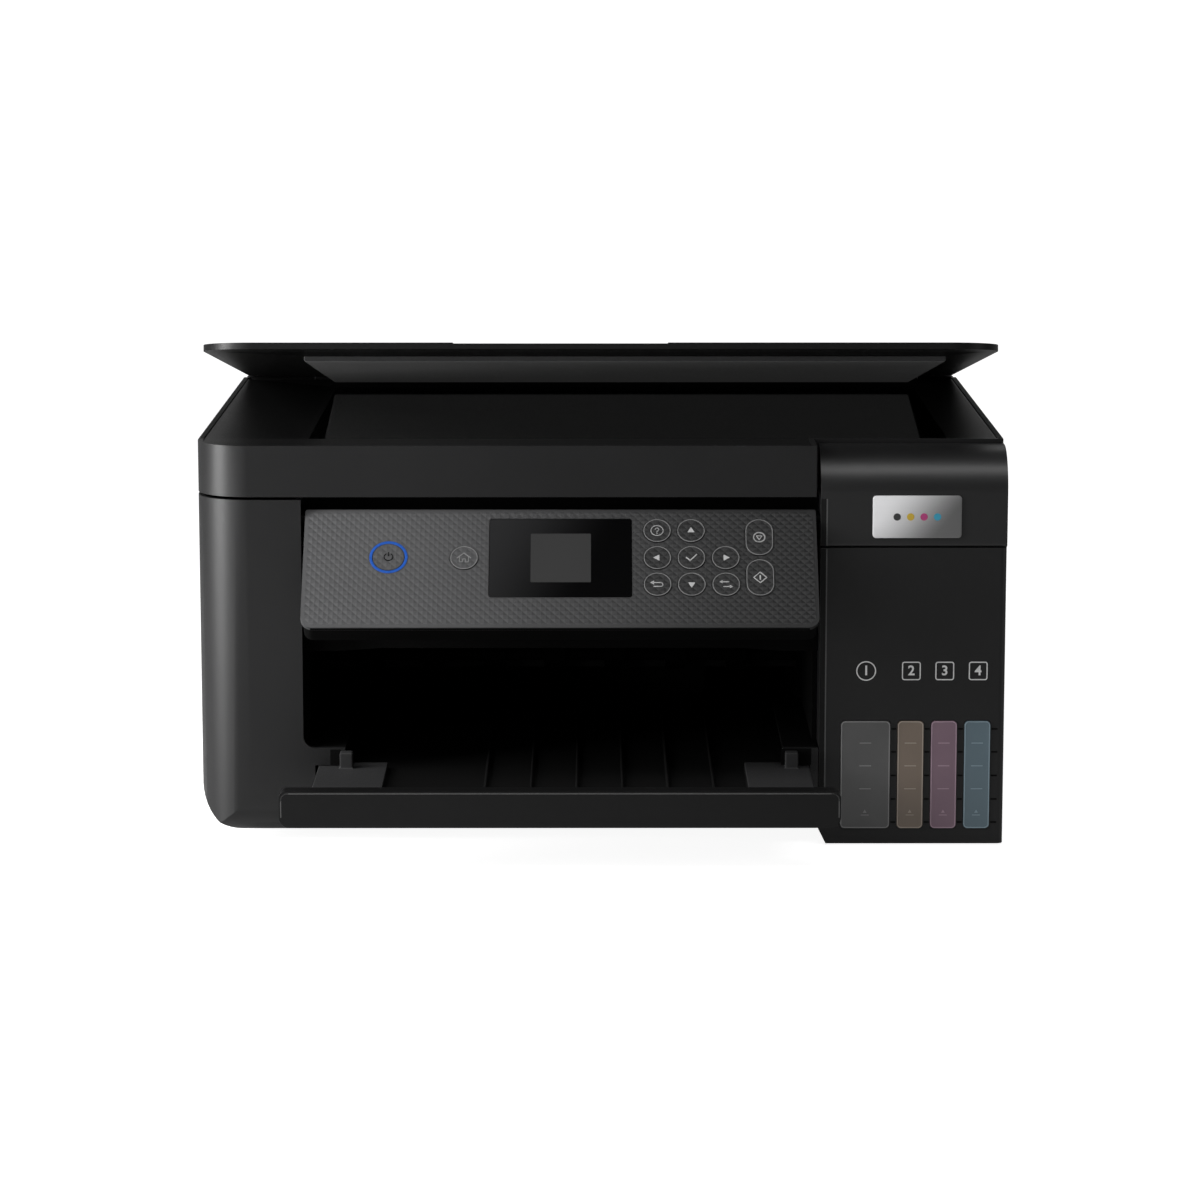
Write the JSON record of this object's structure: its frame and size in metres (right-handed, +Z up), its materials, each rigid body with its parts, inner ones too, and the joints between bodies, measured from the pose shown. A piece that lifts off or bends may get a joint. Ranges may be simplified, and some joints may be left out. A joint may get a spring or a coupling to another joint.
{
  "type": "inkjet printer",
  "caption": "Inkjet printer with flatbed scanner and open lid, tilting control panel, sliding output tray, front ink tank windows and rear paper feeder.",
  "frame": {"origin": "centre of the bounding box's base, on the table", "axes": "+X to the right seen from the front, +Y to the back, +Z up; the control panel faces -Y"},
  "size_m": [0.375, 0.404, 0.2346],
  "materials": {
    "case_black": "fine moulded texture",
    "case_dark": "fine moulded texture",
    "panel_plastic": "embossed diamond pattern, satin",
    "window_black": "polished",
    "screen_grey": "satin screen film",
    "button_black": "satin",
    "tank_smoke": "translucent, smoky grey",
    "tank_amber": "translucent, yellow-brown",
    "tank_mauve": "translucent, mauve",
    "tank_teal": "translucent, teal",
    "cap_grey": "moulded",
    "cap_amber": "moulded",
    "cap_mauve": "moulded",
    "cap_teal": "moulded",
    "scan_glass": "polished float glass",
    "mat_grey": "smooth foam sheet",
    "steel_sheet": "zinc plated sheet",
    "steel_rod": "ground rod",
    "roller_rubber": "ground rubber",
    "belt_rubber": "toothed belt",
    "brass": "machined",
    "pulley_alloy": "machined",
    "board_green": "solder mask",
    "foot_rubber": "matte",
    "inner_black": "moulded",
    "tube_dark": "satin tube"
  },
  "bodies": {
    "body": {"base_pan": "inner_black", "lower_case": "case_black", "feet": "foot_rubber", "output_bay": "inner_black", "tank_housing": "case_black", "feeder_housing": "case_black", "main_frame": "steel_sheet", "guide_rail": "steel_rod", "platen": "inner_black", "drive_motors": "steel_sheet", "timing_belt": "belt_rubber", "capping_station": "inner_black", "main_board": "board_green", "power_supply": "inner_black", "ink_tubes": "tube_dark", "tank_black": "tank_smoke", "tank_yellow": "tank_amber", "tank_magenta": "tank_mauve", "tank_cyan": "tank_teal"},
    "carriage": {"carriage": "inner_black", "printhead": "steel_sheet"},
    "drive_pulley": {"drive_pulley": "pulley_alloy"},
    "idler_pulley": {"idler_pulley": "pulley_alloy"},
    "feed_roller": {"feed_roller": "steel_rod"},
    "motor_pinion": {"motor_pinion": "brass"},
    "output_roller": {"output_roller": "roller_rubber"},
    "pickup_roller": {"pickup_roller": "roller_rubber"},
    "panel": {"panel_housing": "case_dark", "panel_face": "panel_plastic", "display_window": "window_black", "lcd_screen": "screen_grey"},
    "scanner": {"scanner_case": "case_black", "scanner_frame": "case_dark", "scanner_glass": "scan_glass"},
    "scan_bar": {"scan_bar": "inner_black"},
    "lid": {"lid_cover": "case_black", "document_mat": "mat_grey"},
    "tank_cover": {"tank_cover": "case_black"},
    "tray": {"output_tray": "case_black"},
    "extension": {"tray_extension": "case_black"},
    "feeder_cover": {"feeder_cover": "case_black"},
    "paper_support": {"paper_support": "case_black"},
    "edge_guide_left": {"edge_guide_left": "case_dark"},
    "edge_guide_right": {"edge_guide_right": "case_dark"},
    "button_power": {"button_power": "button_black"},
    "button_home": {"button_home": "button_black"},
    "button_help": {"button_help": "button_black"},
    "button_up": {"button_up": "button_black"},
    "button_left": {"button_left": "button_black"},
    "button_ok": {"button_ok": "button_black"},
    "button_right": {"button_right": "button_black"},
    "button_back": {"button_back": "button_black"},
    "button_down": {"button_down": "button_black"},
    "button_menu": {"button_menu": "button_black"},
    "button_stop": {"button_stop": "button_black"},
    "button_start": {"button_start": "button_black"},
    "cap_black": {"cap_black": "cap_grey"},
    "cap_yellow": {"cap_yellow": "cap_amber"},
    "cap_magenta": {"cap_magenta": "cap_mauve"},
    "cap_cyan": {"cap_cyan": "cap_teal"}
  },
  "joints": [
    {"name": "scanner_hinge", "type": "hinge", "parent": "body", "child": "scanner", "pos_m": [0, 0.138, 0.184], "axis": [-1, 0, 0], "range_deg": [0, 35]},
    {"name": "lid_hinge", "type": "hinge", "parent": "scanner", "child": "lid", "pos_m": [0, 0.138, 0.184], "axis": [-1, 0, 0], "range_deg": [-9, 60]},
    {"name": "tank_cover_hinge", "type": "hinge", "parent": "body", "child": "tank_cover", "pos_m": [0.1444, -0.1433, 0.1426], "axis": [1, 0, 0], "range_deg": [0, 90]},
    {"name": "panel_tilt", "type": "hinge", "parent": "body", "child": "panel", "pos_m": [-0.0183, -0.141, 0.1537], "axis": [-1, 0, 0], "range_deg": [-43, 20]},
    {"name": "tray_slide", "type": "slide", "parent": "body", "child": "tray", "axis": [0, -1, 0], "range_m": [0, 0.12]},
    {"name": "extension_slide", "type": "slide", "parent": "tray", "child": "extension", "axis": [0, -1, 0], "range_m": [0, 0.09]},
    {"name": "carriage_slide", "type": "slide", "parent": "body", "child": "carriage", "axis": [-1, 0, 0], "range_m": [0, 0.165]},
    {"name": "drive_pulley_spin", "type": "hinge", "parent": "body", "child": "drive_pulley", "pos_m": [-0.15, 0.054, 0.138], "axis": [0, 1, 0], "range_deg": [0, 1530]},
    {"name": "idler_pulley_spin", "type": "hinge", "parent": "body", "child": "idler_pulley", "pos_m": [0.08, 0.054, 0.138], "axis": [0, 1, 0], "range_deg": [0, 1530]},
    {"name": "feed_roller_spin", "type": "hinge", "parent": "body", "child": "feed_roller", "pos_m": [-0.03, 0.071, 0.068], "axis": [1, 0, 0], "continuous": true},
    {"name": "motor_pinion_spin", "type": "hinge", "parent": "body", "child": "motor_pinion", "pos_m": [-0.178, 0.09378, 0.08115], "axis": [1, 0, 0], "continuous": true},
    {"name": "output_roller_spin", "type": "hinge", "parent": "body", "child": "output_roller", "pos_m": [-0.03, -0.009, 0.066], "axis": [1, 0, 0], "continuous": true},
    {"name": "pickup_roller_spin", "type": "hinge", "parent": "body", "child": "pickup_roller", "pos_m": [-0.03, 0.161, 0.128], "axis": [1, 0, 0], "continuous": true},
    {"name": "scan_bar_slide", "type": "slide", "parent": "scanner", "child": "scan_bar", "axis": [1, 0, 0], "range_m": [0, 0.3]},
    {"name": "feeder_cover_hinge", "type": "hinge", "parent": "body", "child": "feeder_cover", "pos_m": [-0.015, 0.181, 0.1875], "axis": [-1, 0, 0], "range_deg": [0, 90]},
    {"name": "paper_support_slide", "type": "slide", "parent": "body", "child": "paper_support", "axis": [0, 0, 1], "range_m": [0, 0.085]},
    {"name": "edge_guide_left_slide", "type": "slide", "parent": "body", "child": "edge_guide_left", "axis": [1, 0, 0], "range_m": [0, 0.05]},
    {"name": "edge_guide_right_slide", "type": "slide", "parent": "body", "child": "edge_guide_right", "axis": [-1, 0, 0], "range_m": [0, 0.05]},
    {"name": "button_power_press", "type": "slide", "parent": "panel", "child": "button_power", "axis": [0, 0.7314, -0.682], "range_m": [0, 0.0006], "stiffness_N_per_m": 500},
    {"name": "button_home_press", "type": "slide", "parent": "panel", "child": "button_home", "axis": [0, 0.7314, -0.682], "range_m": [0, 0.0006], "stiffness_N_per_m": 500},
    {"name": "button_help_press", "type": "slide", "parent": "panel", "child": "button_help", "axis": [0, 0.7314, -0.682], "range_m": [0, 0.0006], "stiffness_N_per_m": 500},
    {"name": "button_up_press", "type": "slide", "parent": "panel", "child": "button_up", "axis": [0, 0.7314, -0.682], "range_m": [0, 0.0006], "stiffness_N_per_m": 500},
    {"name": "button_left_press", "type": "slide", "parent": "panel", "child": "button_left", "axis": [0, 0.7314, -0.682], "range_m": [0, 0.0006], "stiffness_N_per_m": 500},
    {"name": "button_ok_press", "type": "slide", "parent": "panel", "child": "button_ok", "axis": [0, 0.7314, -0.682], "range_m": [0, 0.0006], "stiffness_N_per_m": 500},
    {"name": "button_right_press", "type": "slide", "parent": "panel", "child": "button_right", "axis": [0, 0.7314, -0.682], "range_m": [0, 0.0006], "stiffness_N_per_m": 500},
    {"name": "button_back_press", "type": "slide", "parent": "panel", "child": "button_back", "axis": [0, 0.7314, -0.682], "range_m": [0, 0.0006], "stiffness_N_per_m": 500},
    {"name": "button_down_press", "type": "slide", "parent": "panel", "child": "button_down", "axis": [0, 0.7314, -0.682], "range_m": [0, 0.0006], "stiffness_N_per_m": 500},
    {"name": "button_menu_press", "type": "slide", "parent": "panel", "child": "button_menu", "axis": [0, 0.7314, -0.682], "range_m": [0, 0.0006], "stiffness_N_per_m": 500},
    {"name": "button_stop_press", "type": "slide", "parent": "panel", "child": "button_stop", "axis": [0, 0.7314, -0.682], "range_m": [0, 0.0006], "stiffness_N_per_m": 500},
    {"name": "button_start_press", "type": "slide", "parent": "panel", "child": "button_start", "axis": [0, 0.7314, -0.682], "range_m": [0, 0.0006], "stiffness_N_per_m": 500},
    {"name": "cap_black_hinge", "type": "hinge", "parent": "body", "child": "cap_black", "pos_m": [0, -0.093, 0.1193], "axis": [-1, 0, 0], "range_deg": [0, 95]},
    {"name": "cap_yellow_hinge", "type": "hinge", "parent": "body", "child": "cap_yellow", "pos_m": [0, -0.093, 0.1193], "axis": [-1, 0, 0], "range_deg": [0, 95]},
    {"name": "cap_magenta_hinge", "type": "hinge", "parent": "body", "child": "cap_magenta", "pos_m": [0, -0.093, 0.1193], "axis": [-1, 0, 0], "range_deg": [0, 95]},
    {"name": "cap_cyan_hinge", "type": "hinge", "parent": "body", "child": "cap_cyan", "pos_m": [0, -0.093, 0.1193], "axis": [-1, 0, 0], "range_deg": [0, 95]}
  ],
  "couplings": [
    {"joint": "drive_pulley_spin", "follows": "carriage_slide", "rad_per_m": 161.29},
    {"joint": "idler_pulley_spin", "follows": "carriage_slide", "rad_per_m": 161.29},
    {"joint": "motor_pinion_spin", "follows": "feed_roller_spin", "ratio": -3.3333},
    {"joint": "output_roller_spin", "follows": "feed_roller_spin", "ratio": 1},
    {"joint": "pickup_roller_spin", "follows": "feed_roller_spin", "ratio": -0.5},
    {"joint": "edge_guide_right_slide", "follows": "edge_guide_left_slide", "ratio": 1}
  ]
}
